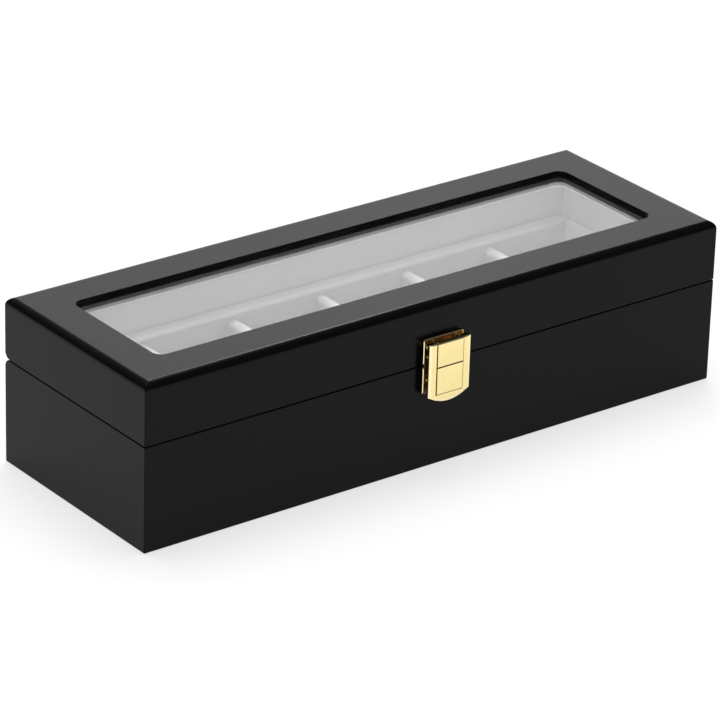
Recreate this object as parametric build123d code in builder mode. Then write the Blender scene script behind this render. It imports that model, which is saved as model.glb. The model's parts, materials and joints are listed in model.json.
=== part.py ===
from build123d import *
import os

# Display box for six pocket watches: a lacquered wooden case with a glazed, hinged lid,
# a suede-lined interior with a divided tray, and a gilt snap latch on the front.
#
# Frame: X runs along the length, Y from the front (-Y) to the back (+Y), Z up.
# The origin is the centre of the underside.  All sizes are in millimetres.

os.makedirs("parts", exist_ok=True)

# ---- driving dimensions: case ----
box_length = 322.0
box_depth = 110.0
box_height = 80.7
wall_thickness = 8.0
seam_height = 51.05  # middle of the gap between the base and the lid
seam_gap = 0.3
top_round = 4.0  # round-over of the lid's upper edges
hinge_edge_round = 3.5  # round of both rims along the back, where the lid swings
arris = 0.5  # small round of every other outer edge
bottom_thickness = 5.0
felt_thickness = 1.0
felt_margin = 0.5  # from the felt to the walls round it

# ---- driving dimensions: lid panel and window ----
panel_thickness = 8.8
frame_width = 21.5  # from the lid's edge to the window
window_corner = 4.5
glass_depth = 2.85  # from the top of the lid down to the glass
glass_thickness = 2.0
glass_clearance = 0.5  # round the glass in its rabbet
rabbet_width = 5.0

# ---- driving dimensions: lining and tray ----
lining_thickness = 2.5
ceiling_thickness = 0.9  # lining under the lid panel
tray_clearance = 0.3  # between the tray and the lined walls
tray_drop = 0.05  # from the base's rim down to the top of the tray's rails
tray_floor = 2.0
long_rail = 7.7  # thickness of the padded front and back rails
end_rail = 4.2  # thickness of the padded end rails
rail_round = 2.5
rail_round_limit = 0.6  # largest share of a rail's thickness that its round takes
compartment_count = 6
divider_thickness = 6.8
divider_drop = 3.35  # from the top of the rails down to the dividers

# ---- driving dimensions: hinges ----
hinge_from_end = 61.0  # from each end of the case to the middle of a hinge
hinge_length = 30.0
hinge_inset = 1.8  # from the back of the case in to the pin's axis
hinge_fit = 0.15  # round a leaf in its mortise, and between neighbouring knuckles
groove_fit = 0.3  # between the knuckles and what they turn beside
knuckle_radius = 2.2
leaf_thickness = 0.8
leaf_margin = 0.9  # wood left between a leaf and the inside of the wall
hinge_pin_radius = 0.9
hinge_pin_head = 0.6
pin_fit = 0.05  # running clearance of a pin in its bore

# ---- driving dimensions: screws and nails ----
shank_fit = 0.02  # between a shank or a sunk head and its hole
screw_pitch = 20.0
screw_radius = 0.6
screw_length = 7.0
screw_head_radius = 1.2
screw_head_depth = 0.65
screw_slot_width = 0.4
screw_slot_depth = 0.3
nail_radius = 0.5
nail_length = 6.0
nail_head_radius = 1.1
nail_head_height = 0.5
nail_head_round = 0.4
nail_inset = 2.9  # from the sides of a latch plate
lid_nail_rise = 4.0  # from the lid's rim up to its nails
base_nail_drop = 7.0  # from the base's rim down to its nails

# ---- driving dimensions: latch ----
plate_width = 22.6
plate_thickness = 0.8
plate_corner = 1.0
plate_show = 0.9  # the lid plate stands this far above the flap
flap_width = 23.2
flap_thickness = 1.2
flap_standoff = 3.6  # between the plates and the flap
flap_rise = 11.9  # from the seam's middle up to the flap's top edge
flap_drop = 13.95  # from the seam's middle down to the ends of the flap's bowed edge
flap_bow = 3.8  # depth of the bowed edge
flap_round = 0.6
field_width = 14.4
field_raise = 0.4
field_drop = 13.2  # from the seam's middle down to the lower field's end
field_gap = 0.7
field_round = 0.3
barrel_radius = 1.4  # knuckles at the flap's two top corners
barrel_length = 4.5
latch_pin_radius = 0.6
latch_pin_end = 0.3  # the pin's rounded ends show beside the barrels
ear_thickness = 1.0
ear_radius = 1.1
ear_gap = 0.2  # between an ear and the barrel beside it
keeper_width = 12.0
keeper_radius = 1.2
keeper_drop = 9.9  # from the seam's middle down to the keeper
catch_width = 10.0
catch_radius = 0.7
catch_gap = 0.6  # below the keeper
catch_clearance = 0.3  # in front of the keeper
spring_width = 9.0
spring_thickness = 0.3
spring_lift = 0.8  # from the lid's rim up to the spring
spring_foot = 4.0
spring_rise = 3.6
spring_clearance = 0.4  # behind the flap

# ---- levels and sizes that follow ----
base_rim = seam_height - seam_gap / 2
lid_rim = seam_height + seam_gap / 2
bottom_top = felt_thickness + bottom_thickness
panel_bottom = box_height - panel_thickness
glass_top = box_height - glass_depth
glass_bottom = glass_top - glass_thickness
floor_top = bottom_top + tray_floor
rail_top = base_rim - tray_drop
divider_top = rail_top - divider_drop

inner_length = box_length - 2 * wall_thickness
inner_depth = box_depth - 2 * wall_thickness
lined_length = inner_length - 2 * lining_thickness
lined_depth = inner_depth - 2 * lining_thickness
tray_length = lined_length - 2 * tray_clearance
tray_depth = lined_depth - 2 * tray_clearance
well_length = tray_length - 2 * end_rail
well_depth = tray_depth - 2 * long_rail
window_length = box_length - 2 * frame_width
window_depth = box_depth - 2 * frame_width
rabbet_length = window_length + 2 * rabbet_width
rabbet_depth = window_depth + 2 * rabbet_width
divider_pitch = (well_length + divider_thickness) / compartment_count

hinge_y = box_depth / 2 - hinge_inset
leaf_edge = inner_depth / 2 + leaf_margin
leaf_reach = hinge_y - leaf_edge
leaf_middle = hinge_y - leaf_reach / 2
knuckle_pitch = hinge_length / 3
hinge_middle = box_length / 2 - hinge_from_end
hinge_centres = {"left": -hinge_middle, "right": hinge_middle}
screw_y = (leaf_edge + hinge_y - knuckle_radius) / 2
screw_places = [
    (centre + side * screw_pitch / 2, screw_y) for centre in hinge_centres.values() for side in (-1, 1)
]

front_y = -box_depth / 2
plate_y = front_y - plate_thickness
plate_top = seam_height + flap_rise + plate_show
flap_back = plate_y - flap_standoff
flap_front = flap_back - flap_thickness
flap_top = seam_height + flap_rise
flap_corner = seam_height - flap_drop
axis_y = flap_back + barrel_radius
axis_z = flap_top - barrel_radius
barrel_middle = (flap_width - barrel_length) / 2
ear_middle = flap_width / 2 - barrel_length - ear_gap - ear_thickness / 2
keeper_z = seam_height - keeper_drop
catch_z = keeper_z - keeper_radius - catch_gap - catch_radius
catch_y = plate_y - keeper_radius - catch_clearance - catch_radius
nail_x = plate_width / 2 - nail_inset
lid_nail_z = lid_rim + lid_nail_rise
base_nail_z = base_rim - base_nail_drop

UP = (Align.CENTER, Align.CENTER, Align.MIN)
DOWN = (Align.CENTER, Align.CENTER, Align.MAX)
BEHIND_FACE = (Align.CENTER, Align.MAX, Align.MIN)
ALONG_X = (0, 90, 0)
FACE_UP = (0, 0, 0)
FACE_DOWN = (180, 0, 0)
FACE_FRONT = (90, 0, 0)


def save(piece, name):
    """Label a finished piece and write its STEP file."""
    piece.part.label = name
    export_step(piece.part, f"parts/{name}.step")


def save_sides(frame, name, length, depth, low, high):
    """Saw a rectangular frame apart at its mitres and write its four sides."""
    half_x, half_y = length / 2, depth / 2
    ridge = half_x - half_y
    outlines = {
        "front": [(-half_x, -half_y), (half_x, -half_y), (ridge, 0), (-ridge, 0)],
        "back": [(-half_x, half_y), (half_x, half_y), (ridge, 0), (-ridge, 0)],
        "left": [(-half_x, -half_y), (-half_x, half_y), (-ridge, 0)],
        "right": [(half_x, -half_y), (half_x, half_y), (ridge, 0)],
    }
    for side, outline in outlines.items():
        with BuildPart() as board:
            add(frame.part)
            with BuildSketch(Plane.XY.offset(low)):
                with BuildLine():
                    Polyline(*outline, close=True)
                make_face()
            extrude(amount=high - low, mode=Mode.INTERSECT)
        save(board, name.format(side))


def round_sharp_edges(block):
    """Round slightly each edge of a case half that its wide rounds left sharp."""
    smooth = block.faces().filter_by(GeomType.CYLINDER).edges().filter_by(GeomType.LINE)
    fillet(block.edges() - smooth, arris)


def cut_hinge_seats(rim, turn):
    """Cut the hinge mortises, knuckle grooves and screw holes from a case half."""
    for centre in hinge_centres.values():
        with Locations((centre, leaf_middle, rim)):
            Box(
                hinge_length + 2 * hinge_fit,
                leaf_reach + 2 * hinge_fit,
                2 * leaf_thickness,
                mode=Mode.SUBTRACT,
            )
        with Locations((centre, hinge_y, seam_height)):
            Cylinder(
                knuckle_radius + groove_fit,
                hinge_length + 2 * (hinge_pin_head + groove_fit),
                rotation=ALONG_X,
                mode=Mode.SUBTRACT,
            )
    with Locations(*[Location((x, y, rim), turn) for x, y in screw_places]):
        Cylinder(screw_radius + shank_fit, screw_length + shank_fit, align=DOWN, mode=Mode.SUBTRACT)


def cut_nail_holes(z):
    """Cut the two holes of one latch plate's nails."""
    with Locations(*[Location((side * nail_x, plate_y, z), FACE_FRONT) for side in (-1, 1)]):
        Cylinder(nail_radius + shank_fit, nail_length + shank_fit, align=DOWN, mode=Mode.SUBTRACT)


# ---- base case: four mitred walls ----
with BuildPart() as base_case:
    with BuildSketch():
        Rectangle(box_length, box_depth)
    extrude(amount=base_rim)
    fillet(base_case.edges().filter_by(Axis.X).group_by(Axis.Z)[-1].sort_by(Axis.Y)[-1], hinge_edge_round)
    round_sharp_edges(base_case)
    with BuildSketch():
        Rectangle(inner_length, inner_depth)
    extrude(amount=base_rim, mode=Mode.SUBTRACT)
    cut_hinge_seats(base_rim, FACE_UP)
    cut_nail_holes(base_nail_z)
save_sides(base_case, "base_{}_wall", box_length, box_depth, 0, base_rim)

with BuildPart() as base_bottom_panel:
    with Locations((0, 0, felt_thickness)):
        Box(inner_length, inner_depth, bottom_thickness, align=UP)
save(base_bottom_panel, "base_bottom_panel")

with BuildPart() as underside_felt:
    Box(inner_length - 2 * felt_margin, inner_depth - 2 * felt_margin, felt_thickness, align=UP)
save(underside_felt, "underside_felt")

# ---- lid: four mitred walls under one top panel with the window ----
with BuildPart() as lid_case:
    with BuildSketch(Plane.XY.offset(lid_rim)):
        Rectangle(box_length, box_depth)
    extrude(amount=box_height - lid_rim)
    fillet(lid_case.edges().group_by(Axis.Z)[-1], top_round)
    fillet(lid_case.edges().filter_by(Axis.X).group_by(Axis.Z)[0].sort_by(Axis.Y)[-1], hinge_edge_round)
    round_sharp_edges(lid_case)
    with BuildSketch(Plane.XY.offset(lid_rim)):
        Rectangle(inner_length, inner_depth)
    extrude(amount=panel_bottom - lid_rim, mode=Mode.SUBTRACT)
    with BuildSketch(Plane.XY.offset(panel_bottom)):
        Rectangle(rabbet_length, rabbet_depth)
    extrude(amount=glass_top - panel_bottom, mode=Mode.SUBTRACT)
    with BuildSketch(Plane.XY.offset(glass_top)):
        RectangleRounded(window_length, window_depth, window_corner)
    extrude(amount=glass_depth, mode=Mode.SUBTRACT)
    fillet(lid_case.faces().sort_by(Axis.Z)[-1].inner_wires().edges(), arris)
    cut_hinge_seats(lid_rim, FACE_DOWN)
    cut_nail_holes(lid_nail_z)
save_sides(lid_case, "lid_{}_wall", box_length, box_depth, lid_rim, panel_bottom)

with BuildPart() as lid_top_panel:
    add(lid_case.part)
    with Locations((0, 0, panel_bottom)):
        Box(box_length, box_depth, panel_thickness, align=UP, mode=Mode.INTERSECT)
save(lid_top_panel, "lid_top_panel")

with BuildPart() as window_glass:
    with Locations((0, 0, glass_bottom)):
        Box(
            rabbet_length - 2 * glass_clearance,
            rabbet_depth - 2 * glass_clearance,
            glass_thickness,
            align=UP,
        )
save(window_glass, "window_glass")

with BuildPart() as glazing_beads:
    with BuildSketch(Plane.XY.offset(panel_bottom)):
        Rectangle(rabbet_length, rabbet_depth)
        RectangleRounded(window_length, window_depth, window_corner, mode=Mode.SUBTRACT)
    extrude(amount=glass_bottom - panel_bottom)
save_sides(glazing_beads, "glazing_bead_{}", rabbet_length, rabbet_depth, panel_bottom, glass_bottom)

# ---- lining: suede-covered card on the walls and under the lid panel ----
for half, low, high in (("base", bottom_top, base_rim), ("lid", lid_rim, panel_bottom)):
    with BuildPart() as wall_lining:
        with BuildSketch(Plane.XY.offset(low)):
            Rectangle(inner_length, inner_depth)
            Rectangle(lined_length, lined_depth, mode=Mode.SUBTRACT)
        extrude(amount=high - low)
    save_sides(wall_lining, half + "_{}_lining", inner_length, inner_depth, low, high)

with BuildPart() as lid_ceiling_lining:
    with BuildSketch(Plane.XY.offset(panel_bottom)):
        Rectangle(lined_length, lined_depth)
        RectangleRounded(window_length, window_depth, window_corner, mode=Mode.SUBTRACT)
    extrude(amount=-ceiling_thickness)
save(lid_ceiling_lining, "lid_ceiling_lining")

# ---- tray: padded rails round a floor, with dividers between the long rails ----
with BuildPart() as tray_floor_pad:
    with Locations((0, 0, bottom_top)):
        Box(tray_length, tray_depth, tray_floor, align=UP)
save(tray_floor_pad, "tray_floor_pad")

for name, side in (("front", -1), ("back", 1)):
    with BuildPart() as rail:
        with Locations((0, side * (tray_depth - long_rail) / 2, floor_top)):
            Box(tray_length, long_rail, rail_top - floor_top, align=UP)
        inner_edge = rail.edges().filter_by(Axis.X).sort_by_distance((0, 0, rail_top))[0]
        fillet(inner_edge, min(rail_round, rail_round_limit * long_rail))
    save(rail, f"tray_{name}_rail")

for name, side in (("left", -1), ("right", 1)):
    with BuildPart() as rail:
        with Locations((side * (tray_length - end_rail) / 2, 0, floor_top)):
            Box(end_rail, well_depth, rail_top - floor_top, align=UP)
        inner_edge = rail.edges().filter_by(Axis.Y).sort_by_distance((0, 0, rail_top))[0]
        fillet(inner_edge, min(rail_round, rail_round_limit * end_rail))
    save(rail, f"tray_{name}_rail")

for number in range(1, compartment_count):
    divider_x = (number - compartment_count / 2) * divider_pitch
    crown = divider_top - divider_thickness / 2
    with BuildPart() as divider:
        with BuildSketch(Plane.XZ):
            with Locations((divider_x, crown)):
                Circle(divider_thickness / 2)
                Rectangle(divider_thickness, crown - floor_top, align=(Align.CENTER, Align.MAX))
        extrude(amount=well_depth / 2, both=True)
    save(divider, f"divider_{number}")


# ---- hinges: a leaf let into each rim, rolled round one headed pin ----
def hinge_leaf(centre, rim, facing, own, other):
    """Make one leaf, facing up (1) or down (-1), with its own knuckles and room for the other's."""
    with BuildPart() as leaf:
        with Locations((centre, leaf_middle, rim - facing * leaf_thickness / 2)):
            Box(hinge_length, leaf_reach, leaf_thickness)
        with Locations(*[(centre + place * knuckle_pitch, hinge_y, seam_height) for place in other]):
            Cylinder(
                knuckle_radius + groove_fit,
                knuckle_pitch + hinge_fit,
                rotation=ALONG_X,
                mode=Mode.SUBTRACT,
            )
        with Locations(*[(centre + place * knuckle_pitch, hinge_y, seam_height) for place in own]):
            Cylinder(knuckle_radius, knuckle_pitch - hinge_fit, rotation=ALONG_X)
        with Locations((centre, hinge_y, seam_height)):
            Cylinder(hinge_pin_radius + pin_fit, 2 * hinge_length, rotation=ALONG_X, mode=Mode.SUBTRACT)
        turn = FACE_UP if facing > 0 else FACE_DOWN
        screws = [(centre + side * screw_pitch / 2, screw_y, rim) for side in (-1, 1)]
        with Locations(*[Location(place, turn) for place in screws]):
            Cylinder(screw_radius + shank_fit, leaf_thickness, align=DOWN, mode=Mode.SUBTRACT)
            Cone(
                screw_radius + shank_fit,
                screw_head_radius + shank_fit,
                screw_head_depth + shank_fit,
                align=DOWN,
                mode=Mode.SUBTRACT,
            )
    return leaf


for name, centre in hinge_centres.items():
    save(hinge_leaf(centre, base_rim, 1, (-1, 1), (0,)), f"{name}_hinge_base_leaf")
    save(hinge_leaf(centre, lid_rim, -1, (0,), (-1, 1)), f"{name}_hinge_lid_leaf")
    with BuildPart() as hinge_pin:
        with Locations((centre, hinge_y, seam_height)):
            Cylinder(hinge_pin_radius, hinge_length, rotation=ALONG_X)
        for side in (-1, 1):
            with Locations((centre + side * (hinge_length + hinge_pin_head) / 2, hinge_y, seam_height)):
                Cylinder((knuckle_radius + hinge_pin_radius) / 2, hinge_pin_head, rotation=ALONG_X)
    save(hinge_pin, f"{name}_hinge_pin")

for half, rim, turn in (("base", base_rim, FACE_UP), ("lid", lid_rim, FACE_DOWN)):
    with BuildPart() as hinge_screws:
        with Locations(*[Location((x, y, rim), turn) for x, y in screw_places]):
            Cylinder(screw_radius, screw_length, align=DOWN)
            Cone(screw_radius, screw_head_radius, screw_head_depth, align=DOWN)
            Box(
                2 * screw_head_radius,
                screw_slot_width,
                screw_slot_depth,
                align=DOWN,
                mode=Mode.SUBTRACT,
            )
    save(hinge_screws, f"hinge_{half}_screws")


# ---- latch plates: one nailed on each side of the seam ----
with BuildPart() as latch_lid_plate:
    with Locations((0, front_y, lid_rim)):
        Box(plate_width, plate_thickness, plate_top - lid_rim, align=BEHIND_FACE)
    fillet(latch_lid_plate.edges().filter_by(Axis.Y), plate_corner)
    cut_nail_holes(lid_nail_z)
    for side in (-1, 1):
        with BuildSketch(Plane.YZ.offset(side * ear_middle)):
            with Locations((axis_y, axis_z)):
                Circle(ear_radius)
                Rectangle(plate_y - axis_y, 2 * ear_radius, align=(Align.MIN, Align.CENTER))
                Circle(latch_pin_radius + pin_fit, mode=Mode.SUBTRACT)
        extrude(amount=ear_thickness / 2, both=True)
save(latch_lid_plate, "latch_lid_plate")

with BuildPart() as latch_base_plate:
    with Locations((0, front_y, flap_corner)):
        Box(plate_width, plate_thickness, base_rim - flap_corner, align=BEHIND_FACE)
    fillet(latch_base_plate.edges().filter_by(Axis.Y), plate_corner)
    cut_nail_holes(base_nail_z)
    with BuildSketch(Plane.YZ):
        with Locations((plate_y, keeper_z)):
            Circle(keeper_radius)
            Rectangle(keeper_radius, 2 * keeper_radius, align=(Align.MIN, Align.CENTER), mode=Mode.SUBTRACT)
    extrude(amount=keeper_width / 2, both=True)
save(latch_base_plate, "latch_base_plate")

for half, z in (("lid", lid_nail_z), ("base", base_nail_z)):
    with BuildPart() as latch_nails:
        with Locations(*[Location((side * nail_x, plate_y, z), FACE_FRONT) for side in (-1, 1)]):
            Cylinder(nail_radius, nail_length, align=DOWN)
            Cylinder(nail_head_radius, nail_head_height, align=UP)
        head_rims = latch_nails.faces().sort_by(Axis.Y).group_by(Axis.Y)[0].edges()
        fillet(head_rims, nail_head_round)
    save(latch_nails, f"latch_{half}_nails")

# ---- latch flap: a cast flap with two raised fields, hung on a pin between two ears ----
with BuildPart() as latch_flap:
    half_width = flap_width / 2
    with BuildSketch(Plane.XZ.offset(-flap_back)):
        with BuildLine():
            bow = ThreePointArc(
                (-half_width, flap_corner),
                (0, flap_corner - flap_bow),
                (half_width, flap_corner),
            )
            Polyline(bow @ 1, (half_width, flap_top), (-half_width, flap_top), bow @ 0)
        make_face()
    extrude(amount=flap_thickness)
    fillet(latch_flap.faces().sort_by(Axis.Y)[0].edges(), flap_round)
    with BuildSketch(Plane.XZ.offset(-flap_front)):
        for low, high in (
            (seam_height + field_gap / 2, flap_top - flap_round),
            (seam_height - field_drop, seam_height - field_gap / 2),
        ):
            with Locations((0, (low + high) / 2)):
                Rectangle(field_width, high - low)
    extrude(amount=field_raise)
    fillet(latch_flap.faces().group_by(Axis.Y)[0].edges(), field_round)
    for side in (-1, 1):
        with BuildSketch(Plane.YZ.offset(side * barrel_middle)):
            with Locations((axis_y, axis_z)):
                Circle(barrel_radius)
                Rectangle(axis_y - flap_back, 2 * barrel_radius, align=(Align.MAX, Align.CENTER))
        extrude(amount=barrel_length / 2, both=True)
    with BuildSketch(Plane.YZ):
        with Locations((catch_y, catch_z)):
            Circle(catch_radius)
            Rectangle(catch_y - flap_back, 2 * catch_radius, align=(Align.MAX, Align.CENTER))
    extrude(amount=catch_width / 2, both=True)
    with Locations((0, axis_y, axis_z)):
        Cylinder(latch_pin_radius + pin_fit, 2 * flap_width, rotation=ALONG_X, mode=Mode.SUBTRACT)
save(latch_flap, "latch_flap")

with BuildPart() as latch_pin:
    with Locations((0, axis_y, axis_z)):
        Cylinder(latch_pin_radius, flap_width + 2 * latch_pin_end, rotation=ALONG_X)
    fillet(latch_pin.edges().filter_by(GeomType.CIRCLE), latch_pin_end)
save(latch_pin, "latch_pin")

with BuildPart() as latch_spring:
    foot_y = plate_y - spring_thickness / 2
    foot_z = lid_rim + spring_lift
    tip_y = flap_back + spring_clearance + spring_thickness / 2
    with BuildSketch(Plane.YZ):
        with BuildLine():
            Polyline(
                (foot_y, foot_z),
                (foot_y, foot_z + spring_foot),
                (tip_y, foot_z + spring_foot + spring_rise),
            )
        trace(line_width=spring_thickness)
    extrude(amount=spring_width / 2, both=True)
save(latch_spring, "latch_spring")
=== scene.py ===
# %% [markdown]
# # A glazed display box for six pocket watches
#
# The box is a lacquered wooden case.  Its lid has a glass window, its inside is lined with pale
# grey suede, and a gilt snap latch holds it shut.  Its rigid pieces could be drawn again here, but
# they arrive ready made from the construction, at their real size and in one frame, so that the
# looks and the mechanism never disagree.  X runs along the length, Y from the front to the back,
# and Z up.  This lesson gives every piece its finish, and models what is soft or needs a finer
# shape.

# %% Load the construction
import json
from math import cos, hypot, pi, radians, sin, sqrt

import bmesh
import bpy
from mathutils import Matrix, Vector, noise


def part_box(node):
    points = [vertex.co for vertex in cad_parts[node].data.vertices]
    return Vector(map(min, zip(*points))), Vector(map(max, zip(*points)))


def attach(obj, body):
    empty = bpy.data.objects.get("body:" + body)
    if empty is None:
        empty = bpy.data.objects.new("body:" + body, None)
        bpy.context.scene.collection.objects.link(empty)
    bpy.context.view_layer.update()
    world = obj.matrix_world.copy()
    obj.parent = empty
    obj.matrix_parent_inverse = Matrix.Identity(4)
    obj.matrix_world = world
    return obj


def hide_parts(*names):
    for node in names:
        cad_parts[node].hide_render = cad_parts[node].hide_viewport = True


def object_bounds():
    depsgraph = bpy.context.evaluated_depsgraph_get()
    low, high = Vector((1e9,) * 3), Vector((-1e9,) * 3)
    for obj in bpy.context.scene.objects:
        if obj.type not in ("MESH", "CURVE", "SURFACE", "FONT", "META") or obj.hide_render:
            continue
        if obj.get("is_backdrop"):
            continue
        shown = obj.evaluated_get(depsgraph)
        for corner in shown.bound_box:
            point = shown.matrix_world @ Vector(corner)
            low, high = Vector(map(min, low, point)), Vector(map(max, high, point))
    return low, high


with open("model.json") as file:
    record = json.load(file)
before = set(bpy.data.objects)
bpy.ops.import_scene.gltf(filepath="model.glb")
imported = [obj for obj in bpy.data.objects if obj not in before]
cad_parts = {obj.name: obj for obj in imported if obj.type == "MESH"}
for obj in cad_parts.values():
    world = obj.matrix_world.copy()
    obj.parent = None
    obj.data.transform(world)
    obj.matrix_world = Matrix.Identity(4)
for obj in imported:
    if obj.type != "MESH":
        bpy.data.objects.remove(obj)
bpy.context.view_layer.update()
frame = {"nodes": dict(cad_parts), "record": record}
MM = 0.001

# %% [markdown]
# Colours are easiest to pick and compare as screen colours, but a shader computes with linear
# light.  The nodes could be placed by hand in the editor, but a box like this has a dozen
# finishes, and the same few steps come back in each.  So one function turns a hex code into linear
# light, and another adds any node, sets its properties, and fills its inputs with values or with
# links.


# %% Colour and node helpers
def linear(code):
    """The linear colour of an sRGB hex code such as "#c8c6c3"."""
    screen = [int(code[i : i + 2], 16) / 255 for i in (1, 3, 5)]
    light = [c / 12.92 if c <= 0.04045 else ((c + 0.055) / 1.055) ** 2.4 for c in screen]
    return (*light, 1.0)


def add(tree, kind, sockets=None, **settings):
    """Add a node; sockets maps an input's name or number to its value or to what feeds it."""
    node = tree.nodes.new(kind)
    for name, value in settings.items():
        setattr(node, name, value)
    for name, value in (sockets or {}).items():
        if isinstance(value, bpy.types.NodeSocket):
            tree.links.new(value, node.inputs[name])
        else:
            node.inputs[name].default_value = value
    return node


def new_material(name):
    """A material with an empty tree but for its output: (material, tree, surface socket)."""
    material = bpy.data.materials.new(name)
    material.use_nodes = True
    tree = material.node_tree
    tree.nodes.clear()
    return material, tree, add(tree, "ShaderNodeOutputMaterial").inputs["Surface"]


print("middle grey on the screen is", round(linear("#808080")[0], 3), "of white in linear light")

# %% [markdown]
# The camera could stand close with a short lens, but then the near end of the box would swell and
# its long edges would run together.  It stands well back with a long lens instead, to the left of
# the latch and above the lid, as a catalogue would show the box, and the edges stay nearly
# parallel.  Azimuth, elevation and roll are turned into its three axes, which fill its matrix.

# %% Camera
AZIMUTH, ELEVATION, ROLL = radians(-37.706), radians(24.879), radians(1.714)
DISTANCE = 2.0036
LENS, SENSOR = 218.95, 36
AIM = Vector((-3.84, 0.16, 30.67)) * MM

backward = Vector((sin(AZIMUTH) * cos(ELEVATION), -cos(AZIMUTH) * cos(ELEVATION), sin(ELEVATION)))
level_x = Vector((0, 0, 1)).cross(backward).normalized()
level_y = backward.cross(level_x)
camera_x = level_x * cos(ROLL) + level_y * sin(ROLL)
camera_y = level_y * cos(ROLL) - level_x * sin(ROLL)
camera = bpy.data.objects.new("camera", bpy.data.cameras.new("camera"))
camera.data.sensor_width = SENSOR
camera.data.lens = LENS
camera.matrix_world = Matrix.LocRotScale(
    AIM + backward * DISTANCE, Matrix((camera_x, camera_y, backward)).transposed(), None
)
bpy.context.scene.collection.objects.link(camera)
bpy.context.scene.camera = camera
bpy.context.scene.view_settings.view_transform = "Standard"
print("camera at", [round(x, 3) for x in camera.matrix_world.translation], "m, lens", LENS, "mm")

# %% [markdown]
# Black lacquer shows its surroundings more than its own colour, so the studio matters as much as
# the materials.  Point lamps would leave hard glints, so both lamps are flat soft boxes.  The
# broad one hangs above and behind the case and gives the light and the soft shadow.  The narrow
# upright one stands far behind on the right, where only the lid's rounded edges mirror it, as a
# fine light line.


# %% Lamps
def soft_box(name, place, aim, width, height, brightness):
    """A soft box of that size in metres; brightness is what a mirror facing it would show."""
    lamp = bpy.data.lights.new(name, "AREA")
    lamp.shape = "RECTANGLE"
    lamp.size, lamp.size_y = width, height
    lamp.energy = brightness * pi * width * height
    box = bpy.data.objects.new(name, lamp)
    turn = (Vector(aim) - Vector(place)).to_track_quat("-Z", "Y")
    box.matrix_world = Matrix.LocRotScale(Vector(place), turn, None)
    box.visible_camera = False
    bpy.context.scene.collection.objects.link(box)
    print(name + ":", width, "x", height, "m,", round(lamp.energy, 2), "W")


soft_box("overhead_soft_box", (0.25, 0.5, 2.2), (0, 0, 0.05), 1.6, 1.2, 3.7)
soft_box("window_strip_light", (1.04, 1.2, 1.5), (-0.13, -0.055, 0.08), 0.12, 0.8, 16.0)

# %% [markdown]
# A studio shows one thing to the eye and casts another.  The floor and the walls should look clean
# and white, but all that white would also shine back on the case and turn its black grey.  Two
# scenes could be rendered and joined, but the light path node does it in one: it tells whether a
# surface is being looked at, straight, in a mirror or through glass, or only lights another.


# %% What is looked at
def seen_directly(tree):
    """1 for rays from the camera, from a mirror or through glass, and 0 for scattered light."""
    rays = add(tree, "ShaderNodeLightPath").outputs
    sharp = {0: rays["Is Camera Ray"], 1: rays["Is Glossy Ray"]}
    sharp = add(tree, "ShaderNodeMath", sharp, operation="MAXIMUM").outputs[0]
    sharp_or_clear = {0: sharp, 1: rays["Is Transmission Ray"]}
    return add(tree, "ShaderNodeMath", sharp_or_clear, operation="MAXIMUM").outputs[0]


print("looked at: by the camera, in a mirror, through glass")

# %% [markdown]
# The rest of the light comes from the world.  An environment image would be quick, but nothing in
# it could be moved, so the world is built from a few nodes.  Gloss sees a dim room with one large
# pale panel behind the case.  The lid and the glass mirror that panel at a low angle, and it gives
# them their grey.  It is brighter high up, where the lid's rounds look, and it fades at its top
# and sides, so that no hard edge shows in a polished face.

# %% Panel behind the case
ROOM = 0.1  # level of the dim room
PANEL_LOW, PANEL_HIGH = 1.45, 2.4  # the panel's level low down and high up
PANEL_MIDDLE = Vector((0.555, 0.718, 0.25)).normalized()  # where the lid's mirror looks
# A direction's share towards the middle is a cosine, and its height is a sine.
PANEL_SIDES = {"From Min": cos(radians(55)), "From Max": cos(radians(38))}
PANEL_BRIGHTENS = {"From Min": sin(radians(26)), "From Max": sin(radians(29))}
PANEL_ENDS = {"From Min": sin(radians(32)), "From Max": sin(radians(37))}

world = bpy.data.worlds.new("studio")
bpy.context.scene.world = world
world.use_nodes = True
world.node_tree.nodes.clear()
tree = world.node_tree
direction = add(tree, "ShaderNodeTexCoord").outputs["Generated"]
height = add(tree, "ShaderNodeSeparateXYZ", {0: direction}).outputs["Z"]
aside = {0: direction, 1: PANEL_MIDDLE}
aside = add(tree, "ShaderNodeVectorMath", aside, operation="DOT_PRODUCT").outputs["Value"]
across = add(tree, "ShaderNodeMapRange", {"Value": aside, **PANEL_SIDES}).outputs[0]
under = {"Value": height, **PANEL_ENDS, "To Min": 1.0, "To Max": 0.0}
under = add(tree, "ShaderNodeMapRange", under).outputs[0]
panel = add(tree, "ShaderNodeMath", {0: across, 1: under}, operation="MULTIPLY").outputs[0]
upward = {"Value": height, **PANEL_BRIGHTENS, "To Min": PANEL_LOW, "To Max": PANEL_HIGH}
upward = add(tree, "ShaderNodeMapRange", upward).outputs[0]
lit = add(tree, "ShaderNodeMath", {0: panel, 1: upward}, operation="MULTIPLY").outputs[0]
mirrored = add(tree, "ShaderNodeMath", {0: lit, 1: ROOM}, operation="ADD").outputs[0]
print("panel: level", PANEL_LOW, "low down and", PANEL_HIGH, "high up, in a room of", ROOM)

# %% [markdown]
# The panel is only for gloss.  The camera, and what it sees through the glass, get plain white
# instead, and matt surfaces get an even, slightly lower white, which fills every corner softly.  A
# third lamp could fill them too, but it would show as one more glint in the gilt.

# %% World
EVEN_LIGHT = 0.8  # the world's level for matt surfaces

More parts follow.
